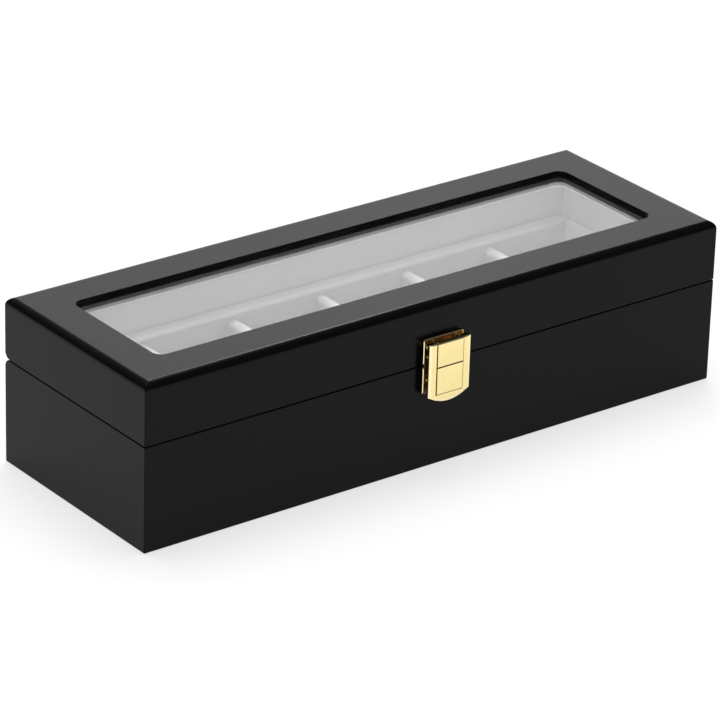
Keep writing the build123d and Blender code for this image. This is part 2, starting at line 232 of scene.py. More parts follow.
rays = add(tree, "ShaderNodeLightPath").outputs
straight = {0: rays["Is Camera Ray"], 1: rays["Is Transmission Ray"]}
straight = add(tree, "ShaderNodeMath", straight, operation="MAXIMUM").outputs[0]
shown = add(tree, "ShaderNodeMath", {0: mirrored, 1: straight}, operation="MAXIMUM").outputs[0]
level = {"Factor": seen_directly(tree), "A": EVEN_LIGHT, "B": shown}
level = add(tree, "ShaderNodeMix", level).outputs["Result"]
background = add(tree, "ShaderNodeBackground", {"Color": linear("#ffffff"), "Strength": level})
add(tree, "ShaderNodeOutputWorld", {"Surface": background.outputs[0]})
print("world:", len(tree.nodes), "nodes, level", EVEN_LIGHT, "on matt surfaces")

# %% [markdown]
# The box stands on a sheet of pale card.  A curved sheet could rise into a backdrop, but a flat
# one that reaches far beyond the view does the same here.  Its matt grey keeps the soft shadow and
# throws little light back at the dark sides.  Where it is looked at, the grey gives way to white,
# and more than half of it is an even glow, so it looks clean without any more light on the box.

# %% Floor
FLOOR_HALF = 8.0
FLOOR_Z = -0.2 * MM  # just under the felt
FLOOR_GLOW = 0.6  # share of even white where the floor is looked at

floor_material, tree, surface = new_material("pale_studio_floor")
shade = {"Factor": seen_directly(tree), "A": linear("#bcbcbc"), "B": linear("#ffffff")}
shade = add(tree, "ShaderNodeMix", shade, data_type="RGBA").outputs["Result"]
matte = add(tree, "ShaderNodeBsdfDiffuse", {"Color": shade}).outputs[0]
white = add(tree, "ShaderNodeEmission", {"Color": linear("#ffffff"), "Strength": 1.0}).outputs[0]
share = {0: seen_directly(tree), 1: FLOOR_GLOW}
share = add(tree, "ShaderNodeMath", share, operation="MULTIPLY").outputs[0]
both = add(tree, "ShaderNodeMixShader", {0: share, 1: matte, 2: white}).outputs[0]
tree.links.new(both, surface)

floor_mesh = bpy.data.meshes.new("studio_floor")
corners = ((-1, -1), (1, -1), (1, 1), (-1, 1))
corners = [(x * FLOOR_HALF, y * FLOOR_HALF, FLOOR_Z) for x, y in corners]
floor_mesh.from_pydata(corners, [], [(0, 1, 2, 3)])
floor_mesh.materials.append(floor_material)
studio_floor = bpy.data.objects.new("studio_floor", floor_mesh)
bpy.context.scene.collection.objects.link(studio_floor)
studio_floor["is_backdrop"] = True
print("floor:", 2 * FLOOR_HALF, "m square,", FLOOR_Z / MM, "mm from the underside of the box")

# %% [markdown]
# Most finishes of the box are made in the same three steps.  A cloudy pattern of a real size lies
# over the piece, the colour wanders with it between two near tones, and the same or a finer
# pattern lifts the surface a little.  A flat colour would be simpler, but the eye takes it for
# plastic at once.  The pattern follows the piece's own coordinates, so it needs no unwrapping.
# When the whole box is in view, a pixel covers about half a millimetre, and a pattern much finer
# than that is lost.


# %% Steps that the finishes share
def per_metre(size_mm):
    """How many times a pattern of this size in millimetres repeats in one metre."""
    return 1000 / size_mm


def two_tones(tree, size_mm, first, second, detail):
    """Clouds of this size over the piece, and the colour that wanders with them, as a pair."""
    place = add(tree, "ShaderNodeTexCoord").outputs["Object"]
    clouds = {"Vector": place, "Scale": per_metre(size_mm), "Detail": detail}
    clouds = add(tree, "ShaderNodeTexNoise", clouds).outputs[0]
    tones = {"Factor": clouds, "A": linear(first), "B": linear(second)}
    return clouds, add(tree, "ShaderNodeMix", tones, data_type="RGBA").outputs["Result"]


def cover(surface, colour, relief, strength, depth_mm, sockets):
    """Cover the surface in a colour, raised by a relief of this depth; sockets add the rest."""
    tree = surface.id_data
    relief = {"Height": relief, "Strength": strength, "Distance": depth_mm * MM}
    bump = add(tree, "ShaderNodeBump", relief).outputs[0]
    sockets = {"Base Color": colour, "Normal": bump, **sockets}
    shader = add(tree, "ShaderNodeBsdfPrincipled", sockets)
    tree.links.new(shader.outputs[0], surface)


print("a pattern of 0.7 mm repeats", round(per_metre(0.7)), "times in a metre")

# %% [markdown]
# The case is wood under sprayed black lacquer, rubbed down to a satin.  Its black is deep, so the
# eye sees its texture only in what it mirrors.  Sprayed lacquer never levels quite flat: it keeps
# a faint orange peel about a millimetre and a half across, and the rubbing leaves it a little
# duller in some places than in others.  A black glossy shader with no pattern would look poured.
# Lacquer has an IOR near 1.5, and satin a roughness of 0.2 to 0.4.  A full mirror of that IOR
# turned the upright faces grey, so the specular level is brought down until they stay black while
# the lid, seen at a low angle, keeps its sheen.  A faint coat stands for its last, glassy skin.


# %% Black lacquer
RUBBING_MM = 60  # length of a rubbing stroke
ORANGE_PEEL_MM = 1.6


def black_lacquer():
    material, tree, surface = new_material("satin_sprayed_black_lacquer")
    cloud, colour = two_tones(tree, RUBBING_MM, "#070707", "#0a0a0a", detail=3)
    place = add(tree, "ShaderNodeTexCoord").outputs["Object"]
    peel = {"Vector": place, "Scale": per_metre(ORANGE_PEEL_MM), "Detail": 2}
    peel = add(tree, "ShaderNodeTexNoise", peel).outputs[0]
    dull = {"Value": cloud, "To Min": 0.2, "To Max": 0.24}
    satin = {
        "Roughness": add(tree, "ShaderNodeMapRange", dull).outputs[0],
        "IOR": 1.5,
        "Specular IOR Level": 0.09,
        "Coat Weight": 0.04,
        "Coat Roughness": 0.05,
    }
    cover(surface, colour, peel, strength=0.25, depth_mm=0.02, sockets=satin)
    return material


LACQUER = black_lacquer()
print(LACQUER.name, "with an orange peel of", ORANGE_PEEL_MM, "mm")

# %% [markdown]
# The window is a pane of clear float glass, two millimetres thick, with an IOR of 1.5 and both
# faces as smooth as they cooled.  The eye sees two things in it: the suede below, and over that a
# veil, which is the mirror of the pale panel at this low angle.  A thin see-through surface could
# fake this, but a solid pane bends and mirrors the light as the real one does.  Glass that bends
# light also blocks the lamps' plain shadow rays, so for those it gives way to a nearly clear film.


# %% Window glass
def window_glass():
    material, tree, surface = new_material("clear_float_glass")
    pane = {"Base Color": linear("#fcfcfc"), "Roughness": 0.0, "IOR": 1.5}
    pane = add(tree, "ShaderNodeBsdfPrincipled", {**pane, "Transmission Weight": 1.0}).outputs[0]
    film = add(tree, "ShaderNodeBsdfTransparent", {"Color": linear("#fbfbfb")}).outputs[0]
    shadow = add(tree, "ShaderNodeLightPath").outputs["Is Shadow Ray"]
    both = add(tree, "ShaderNodeMixShader", {0: shadow, 1: pane, 2: film}).outputs[0]
    tree.links.new(both, surface)
    return material


GLASS = window_glass()
low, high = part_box("window_glass")
print(GLASS.name, "in a pane of", [round(x / MM) for x in high - low], "mm")

# %% [markdown]
# The wooden beads that hold the glass from below were brushed with matt charcoal paint, so that no
# bright wood shows round the edge of the window.  A matt paint scatters all the light it returns,
# so the eye sees a soft even grey with no mirror: a roughness near 0.85 and hardly any specular.
# A brush leaves ridges about 0.3 mm apart, too fine to show, so they are drawn 0.8 mm apart.

# %% Charcoal paint
BRISTLE_MM = 0.8


def charcoal_paint():
    material, tree, surface = new_material("matt_brushed_charcoal_paint")
    bristles, colour = two_tones(tree, BRISTLE_MM, "#636365", "#727274", detail=3)
    matt = {"Roughness": 0.85, "Specular IOR Level": 0.15}
    cover(surface, colour, bristles, strength=0.4, depth_mm=0.1, sockets=matt)
    return material


BEAD_PAINT = charcoal_paint()
print(BEAD_PAINT.name, "with ridges of", BRISTLE_MM, "mm")

# %% [markdown]
# The linings are suede cloth: woven polyester whose face was sanded into a short nap.  The eye
# knows it by what it lacks, a highlight, by a faint sheen where it turns away, and by strokes
# about 25 mm wide, paler or darker by the way a hand last brushed them.  Hair could be grown on
# it, but a nap of a tenth of a millimetre would never show, so noise drawn at 0.7 mm stands for
# it.  The colour is also painted paler the more a surface faces up: a painted highlight of the
# light from above on the tops of the rolls.  A second copy of the cloth is painted darker, as
# painted shade, for the pieces that lie deep in the box or face down.

# %% Suede
SUEDE_MM = 25, 0.7  # width of a brushed stroke, and of a tuft of the nap
NAP_SHARE = 0.35  # the nap's part in the colour; the strokes have the rest
# painted light: the suede turns paler from a roll's side to its top, by how far it faces up
PAINTED_TOP_LIGHT = {"From Min": 0.2, "From Max": 0.8}  # from a roll's side to its top, by how it faces up


def grey_suede(name, deep, pale, painted_top_colour):
    material, tree, surface = new_material(name)
    place = add(tree, "ShaderNodeTexCoord").outputs["Object"]
    sizes = [{"Scale": per_metre(size), "Vector": place, "Detail": 4} for size in SUEDE_MM]
    stroke, nap = [add(tree, "ShaderNodeTexNoise", size).outputs[0] for size in sizes]
    mixed = add(tree, "ShaderNodeMix", {"Factor": NAP_SHARE, "A": stroke, "B": nap}).outputs[0]
    sides = {"Factor": mixed, "A": linear(deep), "B": linear(pale)}
    sides = add(tree, "ShaderNodeMix", sides, data_type="RGBA").outputs["Result"]
    # painted highlight: the colour turns to the top colour as the surface faces up
    facing = add(tree, "ShaderNodeNewGeometry").outputs["Normal"]
    upward = add(tree, "ShaderNodeSeparateXYZ", {0: facing}).outputs["Z"]
    painted_light_on_top = {"Value": upward, **PAINTED_TOP_LIGHT}
    painted_light_on_top = add(tree, "ShaderNodeMapRange", painted_light_on_top).outputs[0]
    colour = {"Factor": painted_light_on_top, "A": sides, "B": linear(painted_top_colour)}
    colour = add(tree, "ShaderNodeMix", colour, data_type="RGBA").outputs["Result"]
    soft = {"Roughness": 0.95, "Specular IOR Level": 0.2}
    soft |= {"Sheen Weight": 0.25, "Sheen Roughness": 0.5}
    cover(surface, colour, nap, strength=0.5, depth_mm=0.25, sockets=soft)
    return material


# The wall linings' suede, and a copy of the same cloth painted darker, as painted shade, for the
# rail faces, dividers, floor pad and ceiling; both have their tops painted pale as a highlight.
SUEDE = grey_suede("grey_suede_cloth_painted_paler_on_top", "#cac9c8", "#e0dfde", "#e0dfde")
SHADED_SUEDE = grey_suede("grey_suede_cloth_painted_darker_for_shade", "#9c9b9a", "#b1b0af", "#e0dfde")
print(SUEDE.name, "and", SHADED_SUEDE.name, "with a nap of", SUEDE_MM[1], "mm")

# %% [markdown]
# The latch is cast zinc under a thin gilding, and its surface is what the polishing wheel made of
# it.  The eye takes a metal's colour from what it mirrors, so gilding is all metallic, keeps the
# default IOR, and only colour and roughness change over the latch.  A mask could blend them, but
# four plain finishes can be given out face by face.  Wheeled gold has a roughness near 0.1 and
# waves some 4 mm long.  The edges get a paler gilt, a painted highlight that makes their rounds
# shine.  The recesses get a brown gilt, painted shade, with a roughness near 0.5 where the wheel
# never reached and the mould's grain stays.  The plates behind are pressed sheet that was only
# tumbled, and lie between in roughness; their darker colour is partly painted shade of their
# place behind the flap.  Grain and tumbling marks are a tenth of a millimetre wide, too fine to
# show, so they are drawn 1 to 2 mm wide.


# %% Gilding
def worked_metal(name, pale, deep, roughness, wave_mm):
    """A metal whose surface has waves of this size from the tool that worked it."""
    material, tree, surface = new_material(name)
    wave, colour = two_tones(tree, wave_mm, pale, deep, detail=2)
    metal = {"Metallic": 1.0, "Roughness": roughness}
    cover(surface, colour, wave, strength=0.2, depth_mm=0.02, sockets=metal)
    print(name, "with waves of", wave_mm, "mm and a roughness of", roughness)
    return material


GILT = worked_metal("polished_gilt_plate", "#f8e9ae", "#f5dd98", 0.08, 4.0)
HIGHLIGHT_GILT = worked_metal("gilt_painted_pale_highlight_on_the_edges", "#fff4c8", "#fdeeb6", 0.12, 2.0)
SHADE_GILT = worked_metal("gilt_painted_dark_shade_in_the_recesses", "#b8882a", "#9a6c1c", 0.5, 1.0)
SHADED_PLATE_GILT = worked_metal("gilt_tumbled_and_painted_darker_for_shade", "#d8a868", "#c09050", 0.32, 1.5)

# %% [markdown]
# The hinges and their pins are rolled brass, and the spring under the flap is tempered steel
# strip.  The rolls leave brass a soft gleam, near 0.25, and tempering leaves steel a little
# duller, near 0.3, and grey.  They could share one finish with the gilding in other colours, and
# they share its function.  Their rolling marks are finer than 0.1 mm too, and are drawn 2 mm and 1
# mm wide.

# %% Brass and steel
BRASS = worked_metal("rolled_brass", "#e6c67a", "#d9b463", 0.25, 2.0)
STEEL = worked_metal("tempered_spring_steel", "#b9b9b7", "#a3a2a0", 0.3, 1.0)

# %% [markdown]
# Needled felt covers the underside, so that the box doesn't scratch a table.  Its fibres lie in
# all directions and swallow the light: fully rough, almost no specular, and a little sheen from
# the loose ends.  A fibre is 0.03 mm thick, far too fine to show, so tufts of 0.6 mm stand for
# them.

# %% Felt
TUFT_MM = 0.6


def black_felt():
    material, tree, surface = new_material("black_needled_felt")
    fibre, colour = two_tones(tree, TUFT_MM, "#141414", "#2a2a2a", detail=5)
    loose = {"Roughness": 1.0, "Specular IOR Level": 0.1, "Sheen Weight": 0.3}
    cover(surface, colour, fibre, strength=0.6, depth_mm=0.3, sockets=loose)
    return material


FELT = black_felt()
print(FELT.name, "with tufts of", TUFT_MM, "mm")

# %% [markdown]
# Walls, panel, glass, beads, hinges, plates, nails and screws keep the shapes of the construction.
# Each could be dressed by its own name, but the construction's record already says what every
# piece is made of, so a loop reads it there.  The beads are wood like the case, but painted.

# %% Dress the pieces that keep their shape
FINISHES = {
    "black_lacquer": LACQUER,
    "window_glass": GLASS,
    "grey_suede": SUEDE,
    "black_felt": FELT,
    "polished_gilt": GILT,
    "brass": BRASS,
    "spring_steel": STEEL,
}
for part in frame["record"]["subparts"]:
    bead = part["node"].startswith("glazing_bead")
    finish = BEAD_PAINT if bead else FINISHES[part["material_slot"]]
    for place in frame["nodes"][part["node"]].material_slots:
        place.material = finish
print("dressed", len(frame["nodes"]), "pieces in", len(FINISHES) + 1, "finishes")

# %% [markdown]
# Everything soft in the box is a board of card or fibreboard with a little wadding, wrapped in
# suede.  It could be a cube with a bevel, but the bevel's faces would be too few for the cloth to
# wander.  So a board starts as six grids that share their border points.  Their lines lie close
# together where an edge will roll over, and far apart in the middle of a face.

# %% A board's grid
PITCH = 2.5 * MM  # spacing of the grid away from the edges
ROLL_STEPS = (0.0, 0.12, 0.35, 0.65, 1.0)  # lines over a rolled edge, as shares of its radius


def grid_lines(low, high, roll_low, roll_high):
    """Places of the grid's lines along one axis, closer where the edges roll over."""
    starts = [low + roll_low * step for step in ROLL_STEPS] if roll_low else [low]
    ends = [high - roll_high * step for step in reversed(ROLL_STEPS)] if roll_high else [high]
    inner = ends[0] - starts[-1]
    count = max(1, round(inner / PITCH))
    return starts + [starts[-1] + inner * i / count for i in range(1, count)] + ends


def box_surface(bm, lines):
    """The six sides of a box as grids that share their vertices: {(i, j, k): vertex}."""
    last = [len(line) - 1 for line in lines]
    vertices = {}

    def vertex(*index):
        if index not in vertices:
            vertices[index] = bm.verts.new([line[i] for line, i in zip(lines, index)])
        return vertices[index]

    for axis in range(3):
        u, v = (axis + 1) % 3, (axis + 2) % 3
        for side in (0, last[axis]):
            for i in range(last[u]):
                for j in range(last[v]):
                    corners = []
                    for di, dj in ((0, 0), (1, 0), (1, 1), (0, 1)):
                        index = [0, 0, 0]
                        index[axis], index[u], index[v] = side, i + di, j + dj
                        corners.append(vertex(*index))
                    bm.faces.new(corners if side else corners[::-1])
    return vertices


print("a plain edge of 90 mm gets", len(grid_lines(0, 90 * MM, 0, 0)), "grid lines")

# %% [markdown]
# Cloth has no sharp edge: it rolls over each one, and it is pulled down hardest along the edges,
# so that the middle of a face stands a little proud.  A cloth simulation could find this, but on a
# firm board with glued cloth it would move hardly anything, and would take long.  Two small rules
# give the same shape at once: one rolls the edges over, and one pulls the faces in towards their
# edges.


# %% Rolled edges and pulled-in faces
def rolled(point, low, high, rolls):
    """Where a point of the box goes when its edges roll over; rolls holds each side's radius."""
    core, reach = Vector(), Vector()
    for axis in range(3):
        start, end = low[axis] + rolls[axis][0], high[axis] - rolls[axis][1]
        core[axis] = min(max(point[axis], start), end)
        radius = rolls[axis][0] if point[axis] < start else rolls[axis][1]
        reach[axis] = (point[axis] - core[axis]) / radius if radius else 0.0
    if reach.length == 0:
        return point
    shrink = max(abs(r) for r in reach) / reach.length
    radii = [rolls[axis][0] if reach[axis] < 0 else rolls[axis][1] for axis in range(3)]
    return core + Vector([r * shrink * radius for r, radius in zip(reach, radii)])


def pulled_in(point, low, high, pull, reach):
    """How far the cloth is pulled into each face at this point, more towards the face's edges."""
    shift = Vector()
    for axis in range(3):
        if not pull[axis]:
            continue
        slack = 1.0
        for other in range(3):
            if other != axis:
                edge = min(point[other] - low[other], high[other] - point[other])
                slack *= 1 - (1 - min(edge / reach, 1.0)) ** 2
        middle = (low[axis] + high[axis]) / 2
        half = (high[axis] - low[axis]) / 2
        shift[axis] = -pull[axis] * (1 - slack) * (point[axis] - middle) / half
    return shift


block = Vector((10, 10, 10)) * MM
cut = block - rolled(block, Vector(), block, [(2 * MM, 2 * MM)] * 3)
print("a roll of 2 mm takes", round(cut.length / MM, 2), "mm off the corner of a block")

# %% [markdown]
# A finished mesh still has to become a piece: it needs a finish, a smooth surface, and a body that
# carries it when the lid or the flap moves.  It also stands for pieces of the construction, which
# are then hidden.  This could be written out for each piece, but one function can't forget a step.
# Hand-laid cloth is never quite even either, so each board's cloth wanders by about a tenth of a
# millimetre over a thumb's width.  The wander comes from fixed noise, so each run is the same.

# %% Make a piece, and wrap a board
PULL_REACH = 10 * MM  # how far from an edge the cloth is pulled in
DRIFT, DRIFT_SIZE = 0.12 * MM, 14 * MM  # how far the cloth wanders, and over what length
noise.seed_set(1)  # without a seed, the noise differs from run to run


def finish_piece(name, bm, finish, body, slot, *nodes):
    """Turn a bmesh into a smooth piece that stands for CAD nodes and rides on their body."""
    bmesh.ops.recalc_face_normals(bm, faces=bm.faces)
    mesh = bpy.data.meshes.new(name)
    bm.to_mesh(mesh)
    bm.free()
    mesh.materials.append(finish)
    mesh.shade_smooth()
    piece = bpy.data.objects.new(name, mesh)
    bpy.context.scene.collection.objects.link(piece)
    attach(piece, body)
    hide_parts(*nodes)
    return piece


def wrapped_board(low, high, rolls, pull=(0, 0, 0), drift=DRIFT):
    """A bmesh of a board wrapped in cloth."""
    bm = bmesh.new()
    box_surface(bm, [grid_lines(low[a], high[a], *rolls[a]) for a in range(3)])
    for vertex in bm.verts:
        place = vertex.co.copy()
        vertex.co = rolled(place, low, high, rolls) + pulled_in(place, low, high, pull, PULL_REACH)
        inside = all(low[a] < place[a] < high[a] for a in range(2)) or place.z < high.z
        vertex.co += noise.noise_vector(place / DRIFT_SIZE) * (drift if inside else 0)
    return bm


print("a board's edge rolls over in", len(ROLL_STEPS) - 1, "steps")

# %% [markdown]
# The walls are lined with card under suede.  Butted strips would show a cut end in each corner, so
# every length is cut at a slant where it meets its neighbour, and the corner closes as a mitred
# frame does.  Only the edge along the rim shows, and there the suede is turned over the card in a
# tight roll.  The nap of the lid's lining and of the base's all but closes the gap at the seam.

# %% Wall linings
RIM_ROLL = 0.15 * MM  # the suede's roll over the card at the rim
NAP_DEPTH = 0.1 * MM  # the depth of the suede's nap
LINING_PULL = 0.25 * MM


def wall_lining(half, side):
    node = f"{half}_{side}_lining"
    low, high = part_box(node)
    if half == "base":
        high.z += NAP_DEPTH
    else:
        low.z -= NAP_DEPTH
    along = 0 if side in ("front", "back") else 1
    across = 1 - along
    rim = (0.0, RIM_ROLL) if half == "base" else (RIM_ROLL, 0.0)
    rolls = [(0.0, 0.0), (0.0, 0.0), rim]
    rolls[across] = (0.0, RIM_ROLL) if side in ("front", "left") else (RIM_ROLL, 0.0)
    pull = [0.0, 0.0, 0.0]
    pull[across] = LINING_PULL
    bm = wrapped_board(low, high, rolls, pull)
    wall = low[across] if side in ("front", "left") else high[across]
    half_length = high[along]
    for vertex in bm.verts:
        depth = abs(vertex.co[across] - wall)
        vertex.co[along] *= (half_length - depth + NAP_DEPTH) / half_length
    piece = finish_piece(f"{half}_{side}_suede", bm, SUEDE, half, "grey_suede", node)
    return piece


SIDES = ("front", "back", "left", "right")
linings = [wall_lining(half, side) for half in ("base", "lid") for side in SIDES]
print("wall linings:", ", ".join(lining.name for lining in linings))

# %% [markdown]
# The tray has four padded rails and five dividers, and makes the six compartments.  Each is a
# strip of board with wadding under the suede.  A long rail has a soft round on its upper inside
# edge only, because its other side is squeezed against the lined wall.  A divider is folded over
# at the top, so it is round from side to side.  The same wrapped board makes them all, with other
# rolls and pulls, and each one is pressed a little into the floor pad, as its weight and glue
# would do.

# %% Tray
SETTLE = 0.5 * MM  # how far the rails and dividers press into the floor pad
LONG_ROLL, END_ROLL = 2.2 * MM, 2 * MM  # rounds of the long and the end rails' inner edges
TIGHT = 0.05 * MM  # round of an edge that is squeezed against a lined wall
DIVIDER_ROLL = 3.2 * MM
LONG_PULL, END_PULL = (0, 0.3 * MM, 0.2 * MM), (0.2 * MM, 0, 0.1 * MM)
DIVIDER_PULL = (0.2 * MM, 0, 0)


def tray_piece(node, name, rolls, pull, suede):
    low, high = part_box(node)
    low.z -= SETTLE
    for axis in (0, 1):
        if rolls[axis][0] == TIGHT:
            low[axis] -= NAP_DEPTH
        if rolls[axis][1] == TIGHT:
            high[axis] += NAP_DEPTH
    bm = wrapped_board(low, high, rolls, pull)
    piece = finish_piece(name, bm, suede, "base", "grey_suede", node)
    return piece


rails = []
# the long rails take the darker suede, painted shade on their faces deep in the tray
for side, rolls, pull, fill, suede in (
    ("front", [(0, 0), (TIGHT, LONG_ROLL), (0, LONG_ROLL)], LONG_PULL, 0.5, SHADED_SUEDE),
    ("back", [(0, 0), (LONG_ROLL, TIGHT), (0, LONG_ROLL)], LONG_PULL, 0.5, SHADED_SUEDE),
    ("left", [(TIGHT, END_ROLL), (0, 0), (0, END_ROLL)], END_PULL, 0.4, SUEDE),
    ("right", [(END_ROLL, TIGHT), (0, 0), (0, END_ROLL)], END_PULL, 0.4, SUEDE),
):
    rails.append(tray_piece(f"tray_{side}_rail", f"{side}_rail_pad", rolls, pull, suede))
divider_nodes = sorted(n for n in frame["nodes"] if n.startswith("divider_"))
rolls = [(DIVIDER_ROLL, DIVIDER_ROLL), (0, 0), (0, DIVIDER_ROLL)]
# the dividers take the darker suede too, painted shade
dividers = [
    tray_piece(node, node + "_pad", rolls, DIVIDER_PULL, SHADED_SUEDE) for node in divider_nodes
]
print("tray:", len(rails), "rails and", len(dividers), "dividers")

# %% [markdown]
# A pad of thin wadding lies on the floor of the tray, under all six compartments.  The rails and
# dividers stand on it and press it down, so in each compartment it swells gently towards the
# middle.  Six small cushions would show the same, but the real pad is one piece, and so is this
# one: its upper points sink by a smooth curve of their distance from what stands on it.

# %% Floor pad
PAD_SPREAD = 9 * MM  # how far from a rail or divider the pad is still pressed
PAD_TOP = 0.5 * MM  # points this close under the pad's top belong to its upper face


def press(distance, depth, spread):
    """How deep the pad is pressed at this distance outside what stands on it."""
    return depth * (1 - min(max(distance, 0) / spread, 1)) ** 2


def floor_pad():
    low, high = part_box("tray_floor_pad")
    standing = [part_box(f"tray_{side}_rail") for side in SIDES]
    standing += [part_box(node) for node in divider_nodes]
    bm = wrapped_board(low, high, [(0, 0), (0, 0), (0, 0)])
    for vertex in bm.verts:
        if vertex.co.z < high.z - PAD_TOP:
            continue
        x, y = vertex.co.xy
        gaps = [hypot(max(a.x - x, x - b.x, 0), max(a.y - y, y - b.y, 0)) for a, b in standing]
        vertex.co.z = high.z - press(min(gaps), SETTLE, PAD_SPREAD)
    # the pad takes the darker suede, painted shade at the bottom of the tray
    piece = finish_piece("floor_pad", bm, SHADED_SUEDE, "base", "grey_suede", "tray_floor_pad")
    return piece


pad = floor_pad()
print("floor pad:", len(pad.data.polygons), "faces, pressed in by", SETTLE / MM, "mm")

# %% [markdown]
# The window has round corners, and whatever surrounds it has to follow them.  A sheet with a hole
# cut by a boolean would do, but it leaves a ragged mesh at the corners.  Loops of points round the
# window are cleaner.  All loops have equally many points, so two neighbours join in four-sided
# faces.


# %% Loops round the window
def rounded_loop(half_x, half_y, radius, corner_steps=8, side_steps=24):
    """Points round a rectangle with rounded corners; each loop has the same number of points."""
    points = []
    corners = ((1, 1, 0), (-1, 1, 90), (-1, -1, 180), (1, -1, 270))
    for number, (sx, sy, start) in enumerate(corners):
        centre = Vector((sx * (half_x - radius), sy * (half_y - radius)))
        for step in range(corner_steps + 1):
            angle = radians(start + 90 * step / corner_steps)
            points.append(centre + Vector((cos(angle), sin(angle))) * radius)
        sx, sy, start = corners[(number + 1) % 4]
        centre = Vector((sx * (half_x - radius), sy * (half_y - radius)))
        end = centre + Vector((cos(radians(start)), sin(radians(start)))) * radius
        begin = points[-1]
        points += [begin.lerp(end, step / side_steps) for step in range(1, side_steps)]
    return points


def join_loops(bm, loops):
    """Join each loop of points to the next, and the last to the first, by a strip of faces."""
    rings = [[bm.verts.new(point) for point in loop] for loop in loops]
    for near, far in zip(rings, rings[1:] + rings[:1]):
        for i in range(len(near)):
            j = (i + 1) % len(near)
            bm.faces.new((near[i], near[j], far[j], far[i]))


print("a loop round the window has", len(rounded_loop(2, 1, 0.5)), "points")

# %% [markdown]
# A thin lining of card and suede covers the underside of the lid's panel, and is turned over in a
# small roll round the window.  Its section is the same all the way round, so it is drawn once,
# from the outer edge to the window, and each of its points becomes one loop.

# %% Ceiling lining
WINDOW_X, WINDOW_Y, WINDOW_CORNER = 139.5 * MM, 33.5 * MM, 4.5 * MM  # half sizes, and radius
WINDOW_ROLL = 0.4 * MM  # the lining's roll round the window
WINDOW_ROLL_STEPS = 4
OUTER_CORNER = 0.1 * MM


def ceiling_lining():
    low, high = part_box("lid_ceiling_lining")
    section = [(high.x, high.y, OUTER_CORNER, high.z), (high.x, high.y, OUTER_CORNER, low.z)]
    for step in range(WINDOW_ROLL_STEPS + 1):
        angle = radians(90 * step / WINDOW_ROLL_STEPS)
        out, z = WINDOW_ROLL * (1 - sin(angle)), low.z + WINDOW_ROLL * (1 - cos(angle))
        section.append((WINDOW_X + out, WINDOW_Y + out, WINDOW_CORNER + out, z))
    section.append((WINDOW_X, WINDOW_Y, WINDOW_CORNER, high.z))
    bm = bmesh.new()
    join_loops(bm, [[(*p, z) for p in rounded_loop(x, y, r)] for x, y, r, z in section])
    # the ceiling faces down and takes the darker suede, painted shade
    piece = finish_piece(
        "lid_ceiling_suede", bm, SHADED_SUEDE, "lid", "grey_suede", "lid_ceiling_lining"
    )
    return piece


ceiling = ceiling_lining()
print("ceiling lining:", len(ceiling.data.polygons), "faces round the window")

# %% [markdown]
# The latch flap is a small zinc casting, polished and gilded.  Two raised fields stand in a fine
# channel on its face, the wheel has worn a sloping rim round its outline, and its lower edge is
# bowed.  It could be cut from a solid with booleans and bevels, but a height for each point of a
# grid is simpler and surer.  Two profiles give that height: one for the rim, measured in from the
# outline, and one for a field, measured across its edge.

# %% The flap's profiles
FLAP_EDGE = 0.3 * MM  # radius of the outline's sharp edge
FLAP_RIM = 1.2 * MM  # width of the sloping rim
FLAP_RIM_DROP = 0.3 * MM  # how far the rim slopes back
FIELD_RAISE = 0.4 * MM
FIELD_EDGE = 0.15 * MM  # radius of a field's edges
CHANNEL = 0.45 * MM  # width of the channel round the fields
CHANNEL_DEPTH = 0.5 * MM
HAIR = 0.02 * MM  # width given to a wall, so that a height stands for it
ARC_STEPS = 5


def rim_profile(distance):
    """How far back the flap's face lies at this distance inside its outline."""
    slope = FLAP_RIM_DROP * max(0.0, 1 - distance / FLAP_RIM)
    short = max(0.0, FLAP_EDGE - distance)
    return slope + FLAP_EDGE - sqrt(FLAP_EDGE**2 - short**2)


def field_profile(inside):
    """How far the face stands out, at this distance inside a field's edge (negative: outside)."""
    if inside <= -CHANNEL:
        return 0.0
    if inside < HAIR / 2:
        return -CHANNEL_DEPTH
    short = max(0.0, FIELD_EDGE + HAIR - inside)
    return FIELD_RAISE - FIELD_EDGE + sqrt(FIELD_EDGE**2 - min(short, FIELD_EDGE) ** 2)


places = {"outside": -1 * MM, "in the channel": -0.2 * MM, "on the field": 1 * MM}
for place, inside in places.items():
    print("the flap's face", place, "stands out by", round(field_profile(inside) / MM, 2), "mm")

# %% [markdown]
# An even grid would cut across the channel and the rounded edges and blur them, unless it were
# very fine.  Here the grid's lines follow the rim, the channel and the edges of the fields, and
# crowd together only over the rounds, so that a few thousand faces keep each of them crisp.


# %% Lines over the flap's edges
def arc_steps(radius):
    """Distances from an edge at which a quarter round of this radius has its grid lines."""
    return [radius * (1 - cos(radians(90 * step / ARC_STEPS))) for step in range(ARC_STEPS + 1)]


def field_lines(edge, inward):
    """Grid lines across a field's edge, from outside the channel to inside the edge's round."""
    steps = [-CHANNEL, -CHANNEL + HAIR, 0.0] + [HAIR + step for step in arc_steps(FIELD_EDGE)]
    return [edge + inward * step for step in steps]


def in_order(lines):
    """The lines from low to high, each kept once."""
    return sorted(set(round(line, 9) for line in lines))


print("grid lines over one edge of a field:", len(field_lines(0, 1)))

# %% [markdown]
# The flap's outline hangs on the seam between the lid and the base: one field lies above it and
# one below.  All levels could be typed in, but then a higher or lower seam would leave the latch
# behind, so they are counted from the seam and from the flap's box.

# %% The flap's grid
FLAP_BACK = -59.4 * MM  # level of the flap's back
FLAP_THICKNESS = 1.2 * MM
FLAP_BOW = 3.8 * MM  # depth of the bowed lower edge
FIELD_HALF = 7.2 * MM
FIELD_GAP = 0.5 * MM  # between the two fields, at the seam
FIELD_DROP = 13.2 * MM  # from the seam's middle down to the lower field's end
FIELD_CELLS = 12  # cells across a field between its edges

